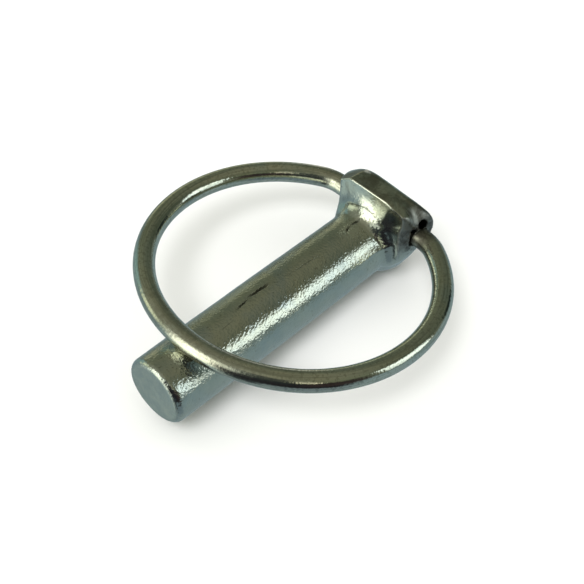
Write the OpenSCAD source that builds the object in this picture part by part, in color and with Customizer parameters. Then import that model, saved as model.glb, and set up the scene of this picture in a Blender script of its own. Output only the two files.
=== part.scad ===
// Round-ring linch pin: a forged pin with an offset head, and a spring-wire
// ring whose two ends turn in a cross hole through the head.
// Millimetres. +X runs along the shank from the head to the free tip, +Z is
// the side of the shank that the closed ring lies on. The origin is on the
// shank's axis, where the shoulder flare ends and the straight shank begins.

/* [Shank] */
// diameter of the straight shank
shank_d = 11; // [6:0.5:16]
// straight length from the shoulder flare to the start of the lead-in
shank_straight = 34; // [15:0.5:80]
// length from the shoulder flare to the flat of the tip
shank_len = 42.35; // [20:0.1:100]
// loss of radius over the lead-in, from its start to the tip
lead_in = 0.06; // [0.02:0.01:0.5]
// radius of the rounded edge round the tip
tip_round = 1.25; // [0.2:0.05:3]

/* [Head] */
// length of the shoulder flare, and its radius against the front face
flare_r = 2.75; // [1:0.1:8]
// half width of the front face
face_half = 6.15; // [5:0.1:12]
// height of the top above the shank's axis
head_top = 10.55; // [7:0.1:20]
// half width of the flat between the two top chamfers
crown_half = 3.85; // [1:0.1:8]
// drop of each top chamfer over its width to the front corner
chamfer_drop = 1.4; // [0.2:0.1:4]
// radius of the rounded lower lobe, about the shank's axis
lobe_r = 6.95; // [5.6:0.1:12]
// half width over the two bosses that carry the ring's ends
boss_half = 8.8; // [7:0.1:14]
// x of the corner where the top turns down the back, before rounding
top_back = -7.25; // [-9:0.05:-5]
// height at which the sloping back reaches the rearmost point
back_drop = 3.1; // [-1:0.1:6]
// radius of the rounding where the top turns down the back
back_round = 1.6; // [0.5:0.1:3]
// radius of the dome that rounds off the head's back and side corners
dome_r = 12.3; // [10:0.1:20]
// x of the rearmost point of the head
head_back = -10.2; // [-20:0.05:-7]

/* [Ring] */
// diameter of the wire
wire_d = 3.35; // [1.5:0.05:6]
// radius of the ring, to the wire's centreline
ring_r = 22.7; // [12:0.1:40]
// distance from the pivot to the ring's centre
ring_reach = 20.24; // [10:0.01:38]
// tilt of the closed ring, with the far side higher
ring_tilt = 4.45; // [0:0.05:20]
// where each wire end starts to bend into the ring, from the middle
bend_start = 8.6; // [6:0.1:14]
// how far each wire end stops short of the middle of the head
end_gap = 3; // [0.5:0.1:6]

/* [Pivot] */
// x of the cross hole
pivot_x = -6.5; // [-14:0.1:-4]
// z of the cross hole, above the shank's axis
pivot_z = 3.89; // [-4:0.01:8]
// radial clearance between the wire and the cross hole
pivot_play = 0.07; // [0.02:0.01:0.3]

/* [Stake mark] */
// diameter of the punch mark beside the cross hole
stake_d = 1.4; // [0.5:0.1:4]
// depth of the punch mark
stake_depth = 1.6; // [0.2:0.1:4]
// distance of the punch mark above the cross hole
stake_up = 2.75; // [2:0.1:5]
// distance of the punch mark ahead of the cross hole
stake_fore = -0.2; // [-2:0.1:3]

/* [Hidden] */
$fn = 96;
e = 0.01;
shank_r = shank_d / 2;
wire_r = wire_d / 2;
face_x = -flare_r;
// plan radius of the bosses, and where they are widest
boss_round = 2.6;
boss_x = head_back + boss_round + 0.2;
// rounding of the lower lobe where it meets the back
lobe_back_round = 4.5;
// neck and lower lobe: a hollow arc off the shank, then a full arc that it
// just cuts into
lobe_round = 7;
neck_round = 1.2;
neck_x = -0.9;
neck_y = shank_r + neck_round - e;
lobe_y = lobe_r - lobe_round;
lobe_x = neck_x - sqrt(pow(lobe_round + neck_round - e / 2, 2)
                       - pow(neck_y - lobe_y, 2));
neck_t = neck_round / (neck_round + lobe_round);
// radius of the short bend that joins each straight end to the ring
bend_r = (pow(ring_r, 2) - pow(ring_reach, 2) - pow(bend_start, 2))
       / (2 * (ring_r - ring_reach));
// angle of the tangent point, seen from the ring's centre
tangent_a = atan2(bend_start, bend_r - ring_reach);
// how far each length of wire runs into the short bend, and how much fatter
// the bend is, so that they join cleanly
lap = 0.1;
swell = 0.005;

steel = [0.66, 0.68, 0.62];
bright = [0.74, 0.76, 0.70];

// a profile in x and radius, turned about the X axis
module about_x() {
    rotate([0, 90, 0]) rotate([0, 0, 180]) rotate_extrude()
        rotate(90) mirror([0, 1, 0]) children();
}

// a y, z outline, from x0 to x1
module along_x(x0, x1) {
    translate([x0, 0, 0]) rotate([90, 0, 90])
        linear_extrude(height = x1 - x0) children();
}

// an x, z outline, from -half to half
module along_y(half) {
    translate([0, half, 0]) rotate([90, 0, 0])
        linear_extrude(height = 2 * half) children();
}

// what a round corner of radius r takes off, its point at the origin and its
// material towards +x and +y
module corner_cut(r) {
    translate([-e, -e]) difference() {
        square(r + e);
        translate([r + e, r + e]) circle(r);
    }
}

// half section of the neck and lower lobe: x from the head's back to the shank
module lobe_section() {
    intersection() {
        difference() {
            translate([head_back, 0]) square([1 - head_back, lobe_r]);
            translate([head_back, lobe_r]) mirror([0, 1])
                corner_cut(lobe_back_round);
        }
        difference() {
            union() {
                translate([lobe_x, lobe_y]) circle(lobe_round);
                polygon([[lobe_x, 0], [1, 0], [1, shank_r - 2 * e],
                         [neck_x, shank_r - e],
                         [neck_x + neck_t * (lobe_x - neck_x),
                          neck_y + neck_t * (lobe_y - neck_y)]]);
            }
            translate([neck_x, neck_y]) circle(neck_round);
        }
    }
}

// the hollow fillet between the shank and the front face
module flare_section() {
    difference() {
        polygon([[face_x - 1, 0], [1, 0], [1, shank_r - 2 * e],
                 [0, shank_r + flare_r], [face_x - 1, shank_r + flare_r]]);
        translate([0, shank_r + flare_r - e]) circle(flare_r);
        translate([0, shank_r - e]) square([2, flare_r + 1]);
    }
}

// outline of the upper head from the front: crown, chamfers, side bosses
module front_outline() {
    slope = chamfer_drop / (face_half - crown_half);
    side = [[crown_half, head_top],
            [boss_half - 1.2, head_top - slope * (boss_half - 1.2 - crown_half)],
            [boss_half, pivot_z + 2.3],
            [boss_half, pivot_z - 1],
            [boss_half - 0.9, pivot_z - 3],
            [lobe_r - 0.1, -0.9],
            [lobe_r - 1.5, -1.5]];
    polygon(concat(side, [for (i = [len(side) - 1 : -1 : 0])
                              [-side[i][0], side[i][1]]]));
}

// outline of the upper head from above: flat front, straight flanks that
// spread back to the round bosses, flat back
module plan_outline() {
    inner = boss_half - boss_round;
    for (s = [-1, 1]) translate([boss_x, s * inner]) circle(boss_round);
    polygon([for (s = [-1, 1], p = [[face_x, face_half],
                                    [boss_x + 0.3 * boss_round,
                                     inner + 0.88 * boss_round],
                                    [boss_x, inner + 0.5 * boss_round],
                                    [head_back, inner]])
                 s < 0 ? [p[0], -p[1]] : p], [[0, 1, 2, 3, 7, 6, 5, 4]]);
}

// outline of the upper head from the side: level crown, rounded corner and a
// back that slopes out to the rearmost point
module side_outline() {
    run = [head_back - top_back, back_drop - head_top];
    way = run / norm(run);
    // how much of each side of the corner the rounding takes up
    cut = back_round * tan(acos(-way[0]) / 2);
    polygon([[head_back, -2], [face_x, -2], [face_x, head_top],
             [top_back + cut, head_top],
             [top_back + cut * way[0], head_top + cut * way[1]],
             [head_back, back_drop]]);
    translate([top_back + cut, head_top - back_round]) circle(back_round - e);
}

module head_block() {
    intersection() {
        along_x(head_back, face_x) front_outline();
        translate([0, 0, -3]) linear_extrude(height = head_top + 4)
            plan_outline();
        along_y(boss_half + 1) side_outline();
        translate([face_x + 0.55, 0, -0.6]) sphere(dome_r);
    }
}

module neck() {
    about_x() lobe_section();
    // shoulder fillet, kept within the front face above and the neck below
    intersection() {
        about_x() flare_section();
        union() {
            translate([face_x - 1, 0.3 - face_half, 0])
                cube([2 - face_x, 2 * face_half - 0.6, head_top - 0.3]);
            about_x() lobe_section();
        }
    }
}

module shank() {
    about_x() union() {
        translate([-6, 0]) square([6 + shank_straight, shank_r]);
        difference() {
            polygon([[shank_straight - e, 0], [shank_len, 0],
                     [shank_len, shank_r - lead_in],
                     [shank_straight, shank_r],
                     [shank_straight - e, shank_r]]);
            translate([shank_len, shank_r - lead_in]) rotate(180)
                corner_cut(tip_round);
        }
    }
}

module forged_pin() {
    color(steel) difference() {
        union() {
            shank();
            neck();
            head_block();
        }
        // cross hole for the ring's ends
        translate([pivot_x, 0, pivot_z]) rotate([90, 0, 0])
            cylinder(h = 4 * boss_half, r = wire_r + pivot_play, center = true);
        // punch mark beside it
        translate([pivot_x + stake_fore, boss_half - stake_depth,
                   pivot_z + stake_up])
            rotate([-90, 0, 0]) cylinder(h = 5, d = stake_d);
    }
}

module spring_ring() {
    over = lap / ring_r * 180 / PI;
    color(bright) translate([pivot_x, 0, pivot_z]) rotate([0, -ring_tilt, 0]) {
        // main bow
        translate([ring_reach, 0, 0]) rotate([0, 0, -tangent_a - over])
            rotate_extrude(angle = 2 * (tangent_a + over))
                translate([ring_r, 0]) circle(wire_r);
        for (s = [0, 1]) mirror([0, s, 0]) {
            // short bend
            translate([bend_r, bend_start, 0]) rotate([0, 0, tangent_a])
                rotate_extrude(angle = 180 - tangent_a)
                    translate([bend_r, 0]) circle(wire_r + swell);
            // straight end in the cross hole
            translate([0, end_gap, 0]) rotate([-90, 0, 0])
                cylinder(h = bend_start + lap - end_gap, r = wire_r);
        }
    }
}

forged_pin();
spring_ring();
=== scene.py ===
import math

import bpy
import numpy as np
from mathutils import Matrix, Vector


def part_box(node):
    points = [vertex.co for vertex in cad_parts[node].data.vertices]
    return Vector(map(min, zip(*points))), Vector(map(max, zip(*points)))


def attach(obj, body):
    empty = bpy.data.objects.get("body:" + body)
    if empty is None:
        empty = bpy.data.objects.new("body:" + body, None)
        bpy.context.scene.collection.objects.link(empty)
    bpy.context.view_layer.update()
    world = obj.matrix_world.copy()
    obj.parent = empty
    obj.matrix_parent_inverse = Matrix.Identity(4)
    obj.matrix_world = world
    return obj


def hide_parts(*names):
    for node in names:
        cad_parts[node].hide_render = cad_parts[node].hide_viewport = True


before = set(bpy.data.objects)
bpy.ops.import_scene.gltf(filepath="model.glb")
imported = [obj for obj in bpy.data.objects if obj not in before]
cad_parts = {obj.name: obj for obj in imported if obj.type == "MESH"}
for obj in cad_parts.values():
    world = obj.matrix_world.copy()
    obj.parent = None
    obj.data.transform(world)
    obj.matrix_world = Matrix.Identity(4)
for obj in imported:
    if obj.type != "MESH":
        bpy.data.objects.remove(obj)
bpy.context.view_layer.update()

MM = 0.001

# ---------------------------------------------------------------- dimensions, mm, as in the CAD part
SHANK_R, SHANK_STRAIGHT, SHANK_LEN, LEAD_IN = 5.5, 34.0, 42.35, 0.06
FLARE_R, HEAD_TOP, HEAD_BACK, BACK_ROUND = 2.75, 10.55, -10.2, 6.5
LOBE_R, BOSS_HALF = 6.95, 8.8
DOME_C, DOME_R = (-2.2, 1.35, -0.6), 12.85
WIRE_R, RING_R, RING_REACH, RING_TILT = 1.675, 22.7, 20.24, math.radians(4.45)
BEND_START, END_GAP = 8.6, 3.0
PIVOT = (-6.5, 0.0, 3.89)


# ---------------------------------------------------------------- seeded 3-D value noise
class Noise:
    def __init__(self, seed):
        self.t = np.random.default_rng(seed).uniform(-1, 1, (32, 32, 32)).astype(np.float32)

    def __call__(self, p):
        i = np.floor(p).astype(np.int64)
        f = (p - i).astype(np.float32)
        f = f * f * f * (f * (f * 6 - 15) + 10)
        out = np.zeros(len(p), np.float32)
        for dx in (0, 1):
            wx = f[:, 0] if dx else 1 - f[:, 0]
            for dy in (0, 1):
                wy = f[:, 1] if dy else 1 - f[:, 1]
                for dz in (0, 1):
                    wz = f[:, 2] if dz else 1 - f[:, 2]
                    out += wx * wy * wz * self.t[(i[:, 0] + dx) & 31, (i[:, 1] + dy) & 31, (i[:, 2] + dz) & 31]
        return out


def fractal(noise, p, octaves=3):
    out, amp, tot = 0, 1.0, 0.0
    for k in range(octaves):
        out = out + amp * noise(p * (2.03 ** k) + 7.3 * k)
        tot += amp
        amp *= 0.5
    return out / tot


# ---------------------------------------------------------------- the forging, as a distance field
def smin(a, b, k):
    h = np.clip(0.5 + 0.5 * (b - a) / k, 0, 1)
    return b + (a - b) * h - k * h * (1 - h)


def smax(a, b, k):
    return -smin(-a, -b, k)


def round_join(a, b, r):
    """Union with a hollow fillet of radius r where the two surfaces meet."""
    return np.maximum(r, np.minimum(a, b)) - np.hypot(np.maximum(r - a, 0), np.maximum(r - b, 0))


def round_cut(a, b, r):
    """Intersection with a rounded corner of radius r."""
    return np.minimum(-r, np.maximum(a, b)) + np.hypot(np.maximum(r + a, 0), np.maximum(r + b, 0))


def plane(x, y, z, n, p):
    n = np.array(n, float)
    n /= np.linalg.norm(n)
    return (x - p[0]) * n[0] + (y - p[1]) * n[1] + (z - p[2]) * n[2]


def capsule(x, y, z, a, b, r):
    a, b = np.array(a, float), np.array(b, float)
    d = b - a
    t = np.clip(((x - a[0]) * d[0] + (y - a[1]) * d[1] + (z - a[2]) * d[2]) / d.dot(d), 0, 1)
    return np.sqrt((x - a[0] - t * d[0]) ** 2 + (y - a[1] - t * d[1]) ** 2 + (z - a[2] - t * d[2]) ** 2) - r


def smooth(a, b, v):
    t = np.clip((v - a) / (b - a), 0, 1)
    return t * t * (3 - 2 * t)


def hole_at(x, y, z):
    return capsule(x, y, z, (-6.45, 5.2, 6.1), (-6.9, 10.0, 6.75), 0.76)


def crease_at(x, y, z):
    return np.minimum(capsule(x, y, z, (-4.95, 7.7, 5.9), (-4.72, 8.2, 3.2), 0.36),
                      capsule(x, y, z, (-4.95, 7.8, 5.6), (-5.9, 8.7, 6.4), 0.24))


def forging(x, y, z):
    rho = np.sqrt(y * y + z * z)
    ang = np.arctan2(z, y)

    # shank: straight, then the slight lead-in and the cropped, tumbled tip
    shank_r = SHANK_R - LEAD_IN * np.clip((x - SHANK_STRAIGHT) / (SHANK_LEN - SHANK_STRAIGHT), 0, 1)
    a = rho - shank_r
    end = x - SHANK_LEN + 0.03 * (1 - (y * 0.6 + z * 0.8) / 5.5)
    tip_r = 1.05 + 0.16 * np.sin(ang + 2.3) + 0.07 * np.sin(3 * ang + 0.6)
    shank = round_cut(a, end, tip_r)
    shank = np.maximum(shank, -6 - x)

    # upper head: front face and its hollow shoulder, crown, two chamfers, leaning flanks
    # (the shoulder is tall towards the staked corner and tight below it)
    tight = smooth(0.70, 1.0, np.cos(ang - 0.22))
    tall = 2.9 + 2.0 * smooth(0.25, 1.0, np.cos(ang - 1.12)) - 2.1 * tight
    deep = FLARE_R - 1.25 * tight
    f = 2.4 * round_join(a / tall, (x + FLARE_R) / deep, 1.0)
    # a shallow hollow hammered into the front face beside the staked corner
    f = smax(f, 4.4 - np.sqrt((x - 1.20) ** 2 + (y - 6.5) ** 2 + (z - 8.2) ** 2), 0.45)
    f = smax(f, z - HEAD_TOP + 0.02 * (y + 1), 0.09 + 0.16 * smooth(1.5, 4.0, y))
    blend = smooth(-3.4, -6.2, x)
    f = smax(f, plane(x, y, z, (0, 0.42, 0.94), (0, 3.6, 10.52)), 0.26 + 1.1 * blend)
    f = smax(f, plane(x, y, z, (0, -0.61, 0.79), (0, -4.15, 10.6)), 0.16)
    f = smax(f, plane(x, y, z, (0.50, 0.86, 0.085), (-2.75, 6.45, 9.2)), 0.18 + 3.4 * blend)
    f = smax(f, plane(x, y, z, (0.42, -0.90, -0.05), (-2.75, -5.98, 9.1)), 0.22)
    # the back leans out to its rearmost point, and a dome takes off its corners
    back = plane(x, y, z, (-0.87, 0.026, 0.49), (-6.90, 0, 10.4))
    back = back - 0.045 * (np.sqrt((y - 3.4) ** 2 + 1) + y - 3.4)
    back = smax(back, HEAD_BACK - x, 0.9)
    dome = np.sqrt((x - DOME_C[0]) ** 2 + (y - DOME_C[1]) ** 2 + (z - DOME_C[2]) ** 2) - DOME_R
    g = smax(back, dome, 0.8)
    caps = np.abs(y) - BOSS_HALF + 0.28 * smooth(0, 8, y)
    low = 0.89 * (np.abs(y) - BOSS_HALF) - 0.457 * (z - 2.7)
    g = smax(smax(g, caps, 1.0), low, 1.6)
    head = round_cut(f, g, 0.8)
    head = smax(head, -(z + 1.5), 2.0)

    # lower lobe, round about the shank's axis
    lobe_r = LOBE_R - 0.12 * np.maximum(x + 5.6, 0) ** 2
    lobe = round_cut((rho - lobe_r) * 0.9, HEAD_BACK - x, 4.6)

    body = smin(head, lobe, 1.5)
    body = np.minimum(body, shank)

    # hole and crease beside the wire on the staked side, and a nick on the other
    body = smax(body, -hole_at(x, y, z), 0.16)
    body = smax(body, -crease_at(x, y, z), 0.3)
    notch = capsule(x, y, z, (-5.1, -8.9, 4.9), (-5.0, -8.3, 4.0), 0.4)
    body = smax(body, -notch, 0.3)
    bore = np.hypot(x - PIVOT[0], z - PIVOT[2]) - (WIRE_R + 0.09)
    body = smax(body, -bore, 0.16)
    return body


def gradient(fn, p, h=0.02):
    g = np.empty_like(p)
    for k in range(3):
        d = np.zeros(3)
        d[k] = h
        a, b = p + d, p - d
        g[:, k] = (fn(a[:, 0], a[:, 1], a[:, 2]) - fn(b[:, 0], b[:, 1], b[:, 2])) / (2 * h)
    return g


def surface_nets(fn, lo, hi, h):
    """Quads on the zero surface of fn, with every vertex drawn onto the surface."""
    n = np.ceil((np.array(hi) - lo) / h).astype(int) + 1
    ax = [lo[k] + h * np.arange(n[k]) for k in range(3)]
    v = np.empty(n, np.float32)
    for i in range(0, n[0], 24):
        X, Y, Z = np.meshgrid(ax[0][i:i + 24], ax[1], ax[2], indexing="ij")
        v[i:i + 24] = fn(X, Y, Z)
    s = v < 0
    c = [s[dx:n[0] - 1 + dx, dy:n[1] - 1 + dy, dz:n[2] - 1 + dz] for dx in (0, 1) for dy in (0, 1) for dz in (0, 1)]
    cnt = sum(k.astype(np.int8) for k in c)
    act = (cnt > 0) & (cnt < 8)
    idx = np.full(act.shape, -1, np.int64)
    cell = np.argwhere(act)
    idx[act] = np.arange(len(cell))
    acc, num = np.zeros((len(cell), 3)), np.zeros(len(cell))
    corners = [(dx, dy, dz) for dx in (0, 1) for dy in (0, 1) for dz in (0, 1)]
    for a in corners:
        for k in range(3):
            if a[k]:
                continue
            b = tuple(a[m] + (m == k) for m in range(3))
            va = v[cell[:, 0] + a[0], cell[:, 1] + a[1], cell[:, 2] + a[2]]
            vb = v[cell[:, 0] + b[0], cell[:, 1] + b[1], cell[:, 2] + b[2]]
            m = (va < 0) != (vb < 0)
            t = np.where(m, va / np.where(m, va - vb, 1), 0)
            q = np.repeat(np.array([a], float), len(cell), 0)
            q[:, k] += t
            acc[m] += q[m]
            num[m] += 1
    p = np.array(lo) + h * (cell + acc / num[:, None])
    quads = []
    for k in range(3):
        m, o = (k + 1) % 3, (k + 2) % 3
        sl0, sl1 = [slice(1, -1)] * 3, [slice(1, -1)] * 3
        sl0[k], sl1[k] = slice(0, -1), slice(1, None)
        a, b = s[tuple(sl0)], s[tuple(sl1)]
        e = np.argwhere(a != b)
        inside = a[a != b]
        base = e + 1
        base[:, k] -= 1
        um, uo = np.zeros(3, int), np.zeros(3, int)
        um[m], uo[o] = 1, 1
        q = np.stack([idx[tuple((base - um - uo).T)], idx[tuple((base - uo).T)],
                      idx[tuple(base.T)], idx[tuple((base - um).T)]], 1)
        q[~inside] = q[~inside][:, ::-1]
        quads.append(q)
    for _ in range(3):
        g = gradient(fn, p)
        f = fn(p[:, 0], p[:, 1], p[:, 2])
        step = (f / np.maximum((g * g).sum(1), 0.2))[:, None] * g
        ln = np.linalg.norm(step, axis=1)[:, None]
        p = p - step * np.minimum(1, 0.5 * h / np.maximum(ln, 1e-9))
    return p, np.concatenate(quads)


def curvature(fn, p, n, h):
    """Bend of the surface at p, from how the normal turns: above zero on a ridge."""
    out = 0
    t1 = np.cross(n, np.where(np.abs(n[:, :1]) < 0.7, [[1.0, 0, 0]], [[0, 1.0, 0]]))
    t1 /= np.linalg.norm(t1, axis=1)[:, None]
    t2 = np.cross(n, t1)
    for t in (t1, t2):
        a, b = p + h * t, p - h * t
        out = out + fn(a[:, 0], a[:, 1], a[:, 2]) + fn(b[:, 0], b[:, 1], b[:, 2])
    return out / (h * h)


def make_mesh(name, verts, faces, attrs, smooth_shade=True):
    me = bpy.data.meshes.new(name)
    me.vertices.add(len(verts))
    me.vertices.foreach_set("co", (verts * MM).astype(np.float32).ravel())
    faces = np.asarray(faces)
    me.loops.add(faces.size)
    me.loops.foreach_set("vertex_index", faces.astype(np.int32).ravel())
    me.polygons.add(len(faces))
    me.polygons.foreach_set("loop_start", np.arange(0, faces.size, faces.shape[1], dtype=np.int32))
    me.update(calc_edges=True)
    me.validate()
    me.shade_smooth()
    for key, val in attrs.items():
        at = me.attributes.new(key, "FLOAT", "POINT")
        at.data.foreach_set("value", np.asarray(val, np.float32))
    ob = bpy.data.objects.new(name, me)
    bpy.context.scene.collection.objects.link(ob)
    return ob


def build_pin():
    lo, hi = (-10.75, -9.45, -7.45), (42.95, 9.45, 11.15)
    p, q = surface_nets(forging, lo, hi, 0.16)
    g = gradient(forging, p)
    n = g / np.linalg.norm(g, axis=1)[:, None]
    ridge = curvature(forging, p, n, 0.13)
    broad = curvature(forging, p, n, 0.7)
    # forged skin: slow waves, tumbling dents, and a ragged lip round the wire
    w1, w2, w3 = Noise(3), Noise(11), Noise(29)
    head = smooth(0.5, -2.5, p[:, 0])
    d = 0.030 * fractal(w1, p / 5.2, 2) + (0.006 + 0.006 * head) * fractal(w2, p / 1.7, 2)
    side = smooth(6.3, 7.4, p[:, 1]) * head
    d += side * 0.030 * fractal(w3, p / 0.8, 2)
    near = np.exp(-((np.hypot(p[:, 0] - PIVOT[0], p[:, 2] - PIVOT[2]) - 2.3) / 0.95) ** 2) * smooth(6.8, 7.8, p[:, 1])
    d += near * 0.16 * fractal(w3, p / 0.55, 2)
    # a faint parting line runs from the neck along the side of the shank
    turn = (np.arctan2(p[:, 2], p[:, 1]) - 0.47 - 0.02 * np.sin(p[:, 0] * 1.1)) * 5.5
    d += 0.075 * np.exp(-(turn / 0.34) ** 2) * smooth(5.6, 1.5, p[:, 0]) * smooth(-3.4, -2.0, p[:, 0])
    # nicks along the crown's edge
    edge = np.clip(ridge / 4.0, 0, 1) * head
    d -= edge * 0.09 * np.clip(fractal(w2, p / np.array([0.7, 0.9, 0.9]), 2), 0, 1)
    pit = np.minimum(hole_at(*p.T), crease_at(*p.T) + 0.08)
    q_in = (np.hypot(p[:, 0] - PIVOT[0], p[:, 2] - PIVOT[2]) < WIRE_R + 0.13) & (p[:, 0] < -4)
    d[q_in] = 0
    p = p + n * np.minimum(d, 0.10)[:, None]
    lo_c, hi_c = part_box("forged_pin")
    p = np.clip(p, np.array(lo_c) / MM, np.array(hi_c) / MM)
    # the hollow, rim and pit attributes carry painted shade in the material, and ridge a painted highlight
    return make_mesh("pin_forging", p, q, {
        "ridge": np.clip((ridge - 1.2) / 5.0, 0, 1), "hollow": np.clip(-broad / 0.9, 0, 1), "rim": near,
        "pit": smooth(0.30, 0.06, pit)})


def ring_path():
    """Centreline of the wire in the ring's own plane: (x away from the pivot, y along it)."""
    bend_r = (RING_R ** 2 - RING_REACH ** 2 - BEND_START ** 2) / (2 * (RING_R - RING_REACH))
    tang = math.atan2(BEND_START, bend_r - RING_REACH)
    pts = [(0.0, y) for y in np.linspace(END_GAP, BEND_START, 24)[:-1]]
    a = np.linspace(math.pi, tang, 26)
    short = [(bend_r + bend_r * math.cos(t), BEND_START + bend_r * math.sin(t)) for t in a]
    big = [(RING_REACH + RING_R * math.cos(t), RING_R * math.sin(t)) for t in np.linspace(tang, -tang, 640)]
    pts += short + big[1:]
    pts += [(x, -y) for x, y in reversed(short[:-1])]
    pts += [(0.0, -y) for y in np.linspace(END_GAP, BEND_START, 24)[:-1][::-1]]
    return np.array(pts)


def build_ring():
    c2 = ring_path()
    ex = np.array([math.cos(RING_TILT), 0, math.sin(RING_TILT)])
    ey = np.array([0.0, 1, 0])
    ez = np.array([-math.sin(RING_TILT), 0, math.cos(RING_TILT)])
    c = np.array(PIVOT) + c2[:, :1] * ex + c2[:, 1:] * ey
    t = np.gradient(c, axis=0)
    t /= np.linalg.norm(t, axis=1)[:, None]
    side = np.cross(t, ez)
    s = np.concatenate([[0], np.cumsum(np.linalg.norm(np.diff(c, axis=0), axis=1))])
    K = 56
    a = 2 * np.pi * np.arange(K) / K
    ca, sa = np.cos(a), np.sin(a)
    n = side[:, None] * ca[None, :, None] + ez[None, None] * sa[None, :, None]
    # drawn wire: faint flats along its length, hardly any waviness along it
    noise = Noise(41)
    q = np.stack([np.repeat(s[:, None] / 9.0, K, 1), np.tile(ca * 1.3, (len(s), 1)) + 3, np.tile(sa * 1.3, (len(s), 1)) + 5], -1)
    r = WIRE_R - 0.006 + 0.006 * fractal(noise, q.reshape(-1, 3), 2).reshape(len(s), K)
    v = c[:, None] + n * r[..., None]
    M = len(s)
    verts = v.reshape(-1, 3)
    i, j = np.meshgrid(np.arange(M - 1), np.arange(K), indexing="ij")
    j2 = (j + 1) % K
    faces = np.stack([i * K + j, (i + 1) * K + j, (i + 1) * K + j2, i * K + j2], -1).reshape(-1, 4)
    # the two cropped ends, inside the head
    caps, extra = [], []
    base = len(verts)
    for e, (ring, sign) in enumerate(((0, 1), (M - 1, -1))):
        cen = c[ring] - sign * t[ring] * 0.12
        prev = ring * K
        for f, back in ((0.82, 0.07), (0.45, 0.12)):
            rows = c[ring] + (v[ring] - c[ring]) * f - sign * t[ring] * back
            start = base + len(extra)
            extra += list(rows)
            for k in range(K):
                k2 = (k + 1) % K
                quad = [prev + k, prev + k2, start + k2, start + k]
                caps.append(quad if sign > 0 else quad[::-1])
            prev = start
        mid = base + len(extra)
        extra.append(cen)
        for k in range(0, K, 2):
            quad = [prev + k, prev + (k + 1) % K, prev + (k + 2) % K, mid]
            caps.append(quad if sign > 0 else quad[::-1])
    verts = np.concatenate([verts, np.array(extra)])
    faces = np.concatenate([faces, np.array(caps)])
    lo_c, hi_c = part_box("spring_ring")
    verts = np.clip(verts, np.array(lo_c) / MM, np.array(hi_c) / MM)
    along = np.concatenate([np.repeat(s, K), np.zeros(len(extra))])
    around = np.concatenate([np.tile(a, M), np.zeros(len(extra))])
    return make_mesh("ring_wire", verts, faces, {
        "along": along / 1000, "round_c": np.cos(around), "round_s": np.sin(around),
        "worn": np.maximum(smooth(17.0, 7.5, np.minimum(along, s[-1] - along)), smooth(19.0, 6.0, np.abs(along - s[-1] / 2 + 3.0))),
        "grimy": smooth(9.5, 6.5, np.minimum(along, s[-1] - along)) * (verts[:, 1] > 0)})


# ---------------------------------------------------------------- node helpers
class Tree:
    def __init__(self, tree):
        self.t = tree
        tree.nodes.clear()

    def node(self, kind, **set_):
        n = self.t.nodes.new(kind)
        for k, v in set_.items():
            setattr(n, k, v)
        return n

    def link(self, a, b):
        self.t.links.new(a, b)

    def put(self, socket, v):
        if hasattr(v, "is_output") or isinstance(v, bpy.types.NodeSocket):
            self.link(v, socket)
        elif v is not None:
            socket.default_value = v

    def math(self, op, a, b=None, c=None, clamp=False):
        n = self.node("ShaderNodeMath", operation=op, use_clamp=clamp)
        for s, v in zip(n.inputs, (a, b, c)):
            self.put(s, v)
        return n.outputs[0]

    def vmath(self, op, a, b=None):
        n = self.node("ShaderNodeVectorMath", operation=op)
        self.put(n.inputs[0], a)
        if b is not None:
            self.put(n.inputs[1], b)
        return n.outputs["Value"] if op in ("DOT_PRODUCT", "LENGTH") else n.outputs[0]

    def noise(self, vec, scale, detail=3.0, rough=0.5, distort=0.0, colour=False):
        n = self.node("ShaderNodeTexNoise")
        self.put(n.inputs["Vector"], vec)
        n.inputs["Scale"].default_value = scale
        n.inputs["Detail"].default_value = detail
        n.inputs["Roughness"].default_value = rough
        n.inputs["Distortion"].default_value = distort
        return n.outputs["Color" if colour else 0]

    def ramp(self, v, stops, interp="LINEAR"):
        n = self.node("ShaderNodeValToRGB")
        n.color_ramp.interpolation = interp
        el = n.color_ramp.elements
        while len(el) > 1:
            el.remove(el[-1])
        el[0].position = stops[0][0]
        el[0].color = (*stops[0][1], 1)
        for pos, col in stops[1:]:
            e = el.new(pos)
            e.color = (*col, 1)
        self.put(n.inputs[0], v)
        return n.outputs[0]

    def step(self, v, lo, hi, a=0.0, b=1.0):
        n = self.node("ShaderNodeMapRange", interpolation_type="SMOOTHSTEP")
        self.put(n.inputs["Value"], v)
        n.inputs["From Min"].default_value = lo
        n.inputs["From Max"].default_value = hi
        n.inputs["To Min"].default_value = a
        n.inputs["To Max"].default_value = b
        return n.outputs["Result"]

    def mix(self, fac, a, b, mode="MIX"):
        n = self.node("ShaderNodeMix", data_type="RGBA", blend_type=mode)
        self.put(n.inputs[0], fac)
        self.put(n.inputs[6], a if not isinstance(a, tuple) else (*a, 1))
        self.put(n.inputs[7], b if not isinstance(b, tuple) else (*b, 1))
        return n.outputs[2]

    def bump(self, height, strength, dist, normal=None):
        n = self.node("ShaderNodeBump")
        n.inputs["Strength"].default_value = strength
        n.inputs["Distance"].default_value = dist
        self.put(n.inputs["Height"], height)
        if normal is not None:
            self.put(n.inputs["Normal"], normal)
        return n.outputs[0]


def zinc(name):
    m = bpy.data.materials.new(name)
    m.use_nodes = True
    t = Tree(m.node_tree)
    out = t.node("ShaderNodeOutputMaterial")
    b = t.node("ShaderNodeBsdfPrincipled")
    t.link(b.outputs[0], out.inputs[0])
    b.inputs["Metallic"].default_value = 1.0
    co = t.node("ShaderNodeTexCoord").outputs["Object"]
    return m, t, b, co


def attr(t, name):
    return t.node("ShaderNodeAttribute", attribute_name=name).outputs["Fac"]


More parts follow.
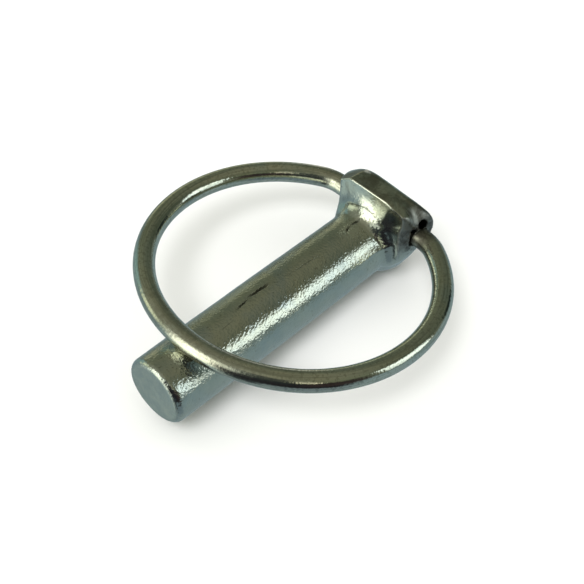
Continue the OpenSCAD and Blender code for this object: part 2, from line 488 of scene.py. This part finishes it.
def pin_material():
    m, t, b, co = zinc("zinc_forging")
    xyz = t.node("ShaderNodeSeparateXYZ")
    t.link(co, xyz.inputs[0])
    X, Y, Z = xyz.outputs
    ridge, hollow, rim, pit_shade = attr(t, "ridge"), attr(t, "hollow"), attr(t, "rim"), attr(t, "pit")

    # scratches: dark drawn marks along the shank's top, each a wandering line with ragged ends
    wander = t.noise(co, 1300, 3, 0.65)
    fray = t.noise(co, 4400, 3, 0.7)
    marks = None
    for x0, y0, x1, y1, half, deep in ((26.4, 0.20, 23.2, -0.22, 0.15, 1.0), (23.6, -0.45, 18.9, -0.25, 0.20, 1.0),
                                       (3.5, 0.36, 0.5, -0.06, 0.18, 1.0), (1.1, -0.12, -1.4, 0.12, 0.17, 1.0),
                                       (16.5, 0.35, 8.6, 1.05, 0.05, 0.55), (31.0, 1.4, 27.5, 1.1, 0.04, 0.3),
                                       (13.0, -2.4, 9.0, -2.6, 0.04, 0.3)):
        slope = (y1 - y0) / (x1 - x0)
        line = t.math("MULTIPLY_ADD", t.math("SUBTRACT", X, x0 * MM), slope, y0 * MM)
        wob = t.math("MULTIPLY", t.math("SUBTRACT", wander, 0.5), 0.9 * MM)
        d = t.math("ABSOLUTE", t.math("SUBTRACT", t.math("SUBTRACT", Y, line), wob))
        width = t.math("MULTIPLY", fray, 2.2 * half * MM)
        on = t.step(t.math("SUBTRACT", d, width), 0.06 * MM, -0.03 * MM)
        ends = t.math("MULTIPLY", t.step(X, (min(x0, x1) - 0.3) * MM, (min(x0, x1) + 1.4) * MM),
                      t.step(X, (max(x0, x1) + 0.3) * MM, (max(x0, x1) - 1.4) * MM))
        gaps = t.step(t.noise(co, 620, 2, 0.6), 0.34, 0.50)
        on = t.math("MULTIPLY", t.math("MULTIPLY", on, ends), t.math("MULTIPLY", gaps, deep))
        marks = on if marks is None else t.math("MAXIMUM", marks, on)
    marks = t.math("MULTIPLY", marks, t.step(Z, 3.5 * MM, 4.5 * MM))

    # colour: grey zinc, with the passivation's slow drift to olive, blue and straw
    drift = t.noise(co, 95, 4, 0.6, 0.6)
    base = t.ramp(drift, [(0.30, (0.50, 0.56, 0.55)), (0.45, (0.60, 0.63, 0.57)), (0.57, (0.64, 0.65, 0.56)),
                          (0.70, (0.55, 0.60, 0.60))])
    mottle = t.noise(co, 480, 5, 0.65)
    base = t.mix(t.step(mottle, 0.35, 0.75, 0.0, 0.35), base, (0.47, 0.49, 0.43))
    head_mask = t.step(X, 0.0, -2.6 * MM)
    smudge = t.math("MULTIPLY", t.step(t.noise(co, 260, 5, 0.7, 1.2), 0.48, 0.68), head_mask)
    base = t.mix(t.math("MULTIPLY", smudge, 0.55), base, (0.34, 0.34, 0.29))
    top = t.math("MULTIPLY", t.step(Z, 8.2 * MM, 9.6 * MM), t.step(X, -2.8 * MM, -3.1 * MM))
    stain = t.step(t.noise(co, 310, 6, 0.68, 0.3), 0.40, 0.62)
    base = t.mix(t.math("MULTIPLY", t.math("MULTIPLY", stain, top), 0.70), base, (0.22, 0.20, 0.155))
    base = t.mix(t.math("MULTIPLY", t.math("MULTIPLY", t.step(Y, -3.4 * MM, -4.4 * MM), top), 0.55), base, (0.24, 0.23, 0.18))
    pale = t.math("MULTIPLY", t.step(t.noise(t.vmath("ADD", co, (0.05, 0.02, 0.0)), 420, 5, 0.66, 0.4), 0.54, 0.72), top)
    base = t.mix(t.math("MULTIPLY", pale, 0.75), base, (0.80, 0.84, 0.74))
    # the staked flank: duller, browner metal from its front edge backwards
    lean = t.math("MULTIPLY_ADD", X, 0.50, t.math("MULTIPLY_ADD", Y, 0.86, t.math("MULTIPLY", Z, 0.085)))
    side = t.math("MULTIPLY", t.step(lean, 4.62 * MM, 4.90 * MM), head_mask)
    side = t.math("MULTIPLY", side, t.step(Z, 0.5 * MM, 4.0 * MM))
    rear = t.math("MULTIPLY", t.step(Y, 5.2 * MM, 6.6 * MM), t.step(X, -3.9 * MM, -5.2 * MM))
    side = t.math("MAXIMUM", side, t.math("MULTIPLY", rear, t.step(Z, 0.5 * MM, 4.0 * MM)))
    base = t.mix(t.math("MULTIPLY", side, 0.72), base, (0.32, 0.305, 0.28))
    grime = t.math("MULTIPLY", t.step(t.noise(co, 430, 5, 0.7, 0.8), 0.44, 0.62), side)
    base = t.mix(t.math("MULTIPLY", grime, 0.75), base, (0.13, 0.12, 0.105))
    specks = t.math("MULTIPLY", t.step(t.noise(co, 1700, 3, 0.65), 0.60, 0.70), t.step(t.noise(co, 210, 2, 0.5), 0.42, 0.62, 0.25, 1.0))
    base = t.mix(t.math("MULTIPLY", specks, 0.55), base, (0.22, 0.20, 0.16))
    tip = t.step(X, 41.6 * MM, 42.2 * MM)
    base = t.mix(t.math("MULTIPLY", tip, t.step(t.noise(co, 520, 5, 0.65, 0.5), 0.34, 0.66, 0.25, 0.95)), base, (0.46, 0.50, 0.47))
    # painted shade: concave places (the hollow attribute) darkened towards grey-blue
    base = t.mix(t.math("MULTIPLY", hollow, 0.35), base, (0.40, 0.44, 0.42))
    # painted shade: a blotchy, near-black band round the wire where it enters the staked flank (the rim attribute)
    base = t.mix(t.math("MULTIPLY", t.step(t.noise(co, 1500, 3, 0.6), 0.42, 0.62), t.math("MULTIPLY", rim, 0.85)),
                 base, (0.10, 0.095, 0.09))
    # painted highlight: near-white, broken streaks along the sharp edges (the ridge attribute)
    base = t.mix(t.math("MULTIPLY", ridge, t.step(t.noise(co, 1500, 3, 0.6), 0.30, 0.55, 0.35, 1.0)), base, (0.97, 0.97, 0.90))
    # painted shade: the hole and crease beside the wire painted near-black
    base = t.mix(pit_shade, base, (0.015, 0.014, 0.013))
    base = t.mix(t.math("MULTIPLY", marks, 0.93), base, (0.05, 0.05, 0.035))
    t.link(base, b.inputs["Base Color"])

    # roughness: bright on the shank, duller on the sheared faces
    end_mask = t.step(X, 42.0 * MM, 42.25 * MM)
    front_mask = t.math("MULTIPLY", t.step(X, -2.2 * MM, -2.65 * MM), t.step(X, -3.0 * MM, -2.8 * MM))
    r = t.math("MULTIPLY_ADD", t.noise(co, 330, 4, 0.6), 0.13, 0.045)
    r = t.math("ADD", r, t.math("MULTIPLY", head_mask, 0.02))
    r = t.math("ADD", r, t.math("MULTIPLY", t.math("MAXIMUM", end_mask, t.math("MULTIPLY", front_mask, 0.35)), 0.20))
    r = t.math("ADD", r, t.math("MULTIPLY", side, 0.27))
    r = t.math("ADD", r, t.math("MULTIPLY", pit_shade, 0.5))
    r = t.math("ADD", r, t.math("MULTIPLY", ridge, 0.20))
    r = t.math("ADD", r, t.math("MULTIPLY", marks, 0.4))
    r = t.math("ADD", r, t.math("MULTIPLY", rim, 0.12), clamp=True)
    t.link(r, b.inputs["Roughness"])

    # relief: orange-peel pits, a fine grain, forging ripples, and the scratches themselves
    pits = t.node("ShaderNodeTexVoronoi", feature="SMOOTH_F1")
    t.link(co, pits.inputs["Vector"])
    pits.inputs["Scale"].default_value = 1900
    pits.inputs["Smoothness"].default_value = 0.6
    pit = t.step(pits.outputs["Distance"], 0.05, 0.45)
    pit_on = t.step(t.noise(co, 700, 3, 0.6), 0.44, 0.64, 0.15, 1.0)
    n1 = t.bump(t.math("MULTIPLY", pit, pit_on), 0.55, 0.020 * MM)
    grain = t.math("MULTIPLY", t.noise(co, 2500, 2, 0.5), t.math("MULTIPLY_ADD", head_mask, -0.85, 1.0))
    n2 = t.bump(grain, 0.9, 0.085 * MM, n1)
    n3 = t.bump(t.noise(co, 330, 2, 0.5), 0.5, 0.055 * MM, n2)
    n4 = t.bump(marks, 1.0, -0.05 * MM, n3)
    t.link(n4, b.inputs["Normal"])
    return m


def ring_material():
    m, t, b, co = zinc("zinc_wire")
    s, rc, rs = attr(t, "along"), attr(t, "round_c"), attr(t, "round_s")
    comb = t.node("ShaderNodeCombineXYZ")
    t.put(comb.inputs[0], t.math("MULTIPLY", s, 14.0))
    t.put(comb.inputs[1], rc)
    t.put(comb.inputs[2], rs)
    draw_vec = comb.outputs[0]
    drift = t.noise(co, 70, 3, 0.6, 0.4)
    base = t.ramp(drift, [(0.30, (0.56, 0.64, 0.62)), (0.46, (0.66, 0.68, 0.60)), (0.58, (0.71, 0.70, 0.59)),
                          (0.72, (0.57, 0.65, 0.64))])
    lines = t.noise(draw_vec, 4.4, 4, 0.65)
    base = t.mix(t.step(lines, 0.42, 0.62, 0.0, 0.68), base, (0.38, 0.41, 0.35))
    base = t.mix(t.step(t.noise(co, 2100, 2, 0.5), 0.50, 0.66, 0.0, 0.4), base, (0.34, 0.35, 0.28))
    worn, grimy = attr(t, "worn"), attr(t, "grimy")
    base = t.mix(t.math("MULTIPLY", worn, t.step(t.noise(co, 520, 4, 0.65, 0.8), 0.36, 0.66, 0.15, 0.75)), base, (0.44, 0.44, 0.38))
    base = t.mix(t.math("MULTIPLY", grimy, t.step(t.noise(co, 1100, 4, 0.65), 0.34, 0.58, 0.45, 0.95)), base, (0.17, 0.16, 0.14))
    spots = t.step(t.noise(co, 900, 3, 0.6), 0.66, 0.74)
    base = t.mix(t.math("MULTIPLY", spots, 0.35), base, (0.34, 0.35, 0.30))
    t.link(base, b.inputs["Base Color"])
    r = t.math("MULTIPLY_ADD", t.noise(draw_vec, 4.0, 3, 0.6), 0.12, 0.025)
    r = t.math("ADD", r, t.math("MULTIPLY", spots, 0.1))
    r = t.math("ADD", r, t.math("MULTIPLY", worn, 0.13))
    r = t.math("ADD", r, t.math("MULTIPLY", grimy, 0.20))
    t.link(r, b.inputs["Roughness"])
    n1 = t.bump(lines, 0.45, 0.02 * MM)
    n2 = t.bump(t.noise(co, 2300, 2, 0.5), 0.7, 0.035 * MM, n1)
    n3 = t.bump(t.noise(co, 160, 2, 0.5), 0.4, 0.06 * MM, n2)
    t.link(n3, b.inputs["Normal"])
    return m


# ---------------------------------------------------------------- the two pieces
pin = build_pin()
pin.data.materials.append(pin_material())
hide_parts("forged_pin")
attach(pin, "pin")

ring = build_ring()
ring.data.materials.append(ring_material())
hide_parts("spring_ring")
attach(ring, "ring")

# ---------------------------------------------------------------- stage: pale floor and backdrop, camera, lights
FLOOR_AT, FLOOR_FALL = Vector((-0.0049, 0, -0.00702)), 0.0332


def stage_mesh(name, verts, faces):
    me = bpy.data.meshes.new(name)
    me.from_pydata(verts, [], faces)
    me.update()
    ob = bpy.data.objects.new(name, me)
    bpy.context.scene.collection.objects.link(ob)
    return ob


def matt(name, colour):
    m = bpy.data.materials.new(name)
    m.use_nodes = True
    t = Tree(m.node_tree)
    out = t.node("ShaderNodeOutputMaterial")
    d = t.node("ShaderNodeBsdfDiffuse")
    d.inputs["Color"].default_value = (*colour, 1)
    t.link(d.outputs[0], out.inputs[0])
    return m


W = 3.0
floor = stage_mesh("floor", [(-W, -W, 0), (W, -W, 0), (W, W, 0), (-W, W, 0)], [(0, 1, 2, 3)])
floor.matrix_world = Matrix.Translation(FLOOR_AT) @ Matrix.Rotation(FLOOR_FALL, 4, "Y")
floor.data.materials.append(matt("floor_white", (0.80, 0.80, 0.80)))
floor.visible_glossy = False
floor.visible_diffuse = False

world = bpy.data.worlds.new("studio")
bpy.context.scene.world = world
world.use_nodes = True
w = Tree(world.node_tree)
wout = w.node("ShaderNodeOutputWorld")
bg = w.node("ShaderNodeBackground")
w.link(bg.outputs[0], wout.inputs[0])
d = w.node("ShaderNodeTexCoord").outputs["Generated"]
sep = w.node("ShaderNodeSeparateXYZ")
w.link(w.vmath("NORMALIZE", d), sep.inputs[0])
wx, wy, wz = sep.outputs
el = w.math("MULTIPLY", w.math("ARCSINE", wz), 180 / math.pi)


def azimuth(centre):
    """Azimuth about the given one, from -180 to 180 degrees."""
    c, s = math.cos(math.radians(centre)), math.sin(math.radians(centre))
    # azimuth a looks from (sin a, -cos a)
    along = w.math("SUBTRACT", w.math("MULTIPLY", wx, s), w.math("MULTIPLY", wy, c))
    across = w.math("ADD", w.math("MULTIPLY", wx, c), w.math("MULTIPLY", wy, s))
    return w.math("MULTIPLY", w.math("ARCTAN2", across, along), 180 / math.pi)


def panel(az, half_az, el0, el1, soft_az, soft_lo, soft_hi):
    a = w.math("ABSOLUTE", azimuth(az))
    k = w.step(a, half_az + soft_az / 2, half_az - soft_az / 2)
    k = w.math("MULTIPLY", k, w.step(el, el0 - soft_lo / 2, el0 + soft_lo / 2))
    return w.math("MULTIPLY", k, w.step(el, el1 + soft_hi / 2, el1 - soft_hi / 2))


# a dim olive room above, a grey table below
sky = w.ramp(w.step(el, -90, 90), [(0.0, (0.276, 0.348, 0.372)), (0.40, (0.250, 0.336, 0.360)), (0.49, (0.19, 0.25, 0.255)),
                                  (0.53, (0.165, 0.185, 0.140)), (0.72, (0.155, 0.172, 0.115)), (1.0, (0.20, 0.20, 0.14))])
col = sky
# the side of the room beside the large window is lighter, the far side darker
col = w.mix(w.math("MULTIPLY", panel(70, 62, 20, 74, 60, 40, 30), 0.5), col, (0.42, 0.42, 0.33))
col = w.mix(w.math("MULTIPLY", panel(265, 55, 8, 50, 60, 20, 30), 0.6), col, (0.062, 0.078, 0.062))
# dark figure behind the camera, over the edge of the table
col = w.mix(panel(150, 28, -62, -26, 20, 12, 8), col, (0.19, 0.25, 0.285))
col = w.mix(panel(101, 14, -48, -12, 12, 10, 12), col, (0.030, 0.038, 0.042))
col = w.mix(panel(128, 44, -24, 21, 18, 12, 10), col, (0.022, 0.022, 0.026))
col = w.mix(w.math("MULTIPLY", panel(119, 20, 10, 48, 14, 10, 12), 0.85), col, (0.03, 0.038, 0.042))
col = w.mix(w.math("MULTIPLY", panel(164, 20, -6, 26, 16, 10, 8), 0.92), col, (0.045, 0.033, 0.033))
col = w.mix(panel(148, 7, 24, 46, 5, 6, 8), col, (0.40, 0.39, 0.30))
col = w.mix(panel(144, 2.2, 28, 36, 2, 4, 5), col, (1.5, 1.4, 1.05))
col = w.mix(panel(153, 3.0, 28, 35, 2, 4, 5), col, (1.2, 1.12, 0.85))
col = w.mix(w.math("MULTIPLY", panel(254, 8, -4, 15, 5, 5, 6), 0.95), col, (0.012, 0.020, 0.018))
# windows
col = w.mix(panel(67, 20, -54, -8, 12, 20, 22), col, (0.525, 0.635, 0.60))
col = w.mix(panel(71, 14.5, -25, 40, 7, 16, 18), col, (2.5, 2.55, 2.15))
col = w.mix(panel(9, 13, -16, 16, 10, 8, 10), col, (0.28, 0.42, 0.41))
col = w.mix(panel(34, 11, -8, 16, 10, 10, 12), col, (1.05, 1.12, 0.82))
col = w.mix(panel(213, 17.5, 4, 32, 6, 5, 6), col, (1.45, 1.62, 1.58))
col = w.mix(panel(96, 5, 12, 42, 5, 8, 8), col, (1.05, 1.10, 0.95))
col = w.mix(panel(326, 20, -24, -8, 10, 8, 6), col, (0.17, 0.20, 0.17))
col = w.mix(panel(326, 15, -6, 12, 10, 6, 10), col, (0.46, 0.47, 0.32))
col = w.mix(panel(306, 3, -24, 14, 4, 8, 20), col, (0.65, 0.65, 0.60))
w.link(col, bg.inputs["Color"])
bg.inputs["Strength"].default_value = 1.0
world.cycles.sampling_method = "MANUAL"
world.cycles.sample_map_resolution = 512


def area(name, az, elev, dist, size, watts, colour=(1, 1, 1), glossy=False):
    li = bpy.data.lights.new(name, "AREA")
    li.shape = "DISK"
    li.size = size
    li.energy = watts
    li.color = colour
    ob = bpy.data.objects.new(name, li)
    a, e = math.radians(az), math.radians(elev)
    back = Vector((math.sin(a) * math.cos(e), -math.cos(a) * math.cos(e), math.sin(e)))
    ob.location = Vector((0.014, 0, 0)) + back * dist
    ob.rotation_mode = "QUATERNION"
    ob.rotation_quaternion = (-back).to_track_quat("-Z", "Y")
    bpy.context.scene.collection.objects.link(ob)
    ob.visible_glossy = glossy
    return ob


area("key", 108.6, 55.9, 1.2, 0.50, 8.5)
area("fill", 150, 88, 1.6, 3.4, 34.0)

cam_data = bpy.data.cameras.new("camera")
cam_data.sensor_width = 36.0
cam_data.lens = 67.614
cam_data.clip_start, cam_data.clip_end = 0.005, 20
cam = bpy.data.objects.new("camera", cam_data)
bpy.context.scene.collection.objects.link(cam)
right, up, back = (-0.691035, 0.720795, 0.054093), (-0.512168, -0.541079, 0.667021), (0.510054, 0.43323, 0.743073)
cam.matrix_world = Matrix(((right[0], up[0], back[0], 0.100815), (right[1], up[1], back[1], 0.073829),
                           (right[2], up[2], back[2], 0.126456), (0, 0, 0, 1)))
bpy.context.scene.camera = cam
bpy.context.scene.view_settings.view_transform = "Standard"
bpy.context.scene.view_settings.look = "None"

bpy.context.view_layer.update()
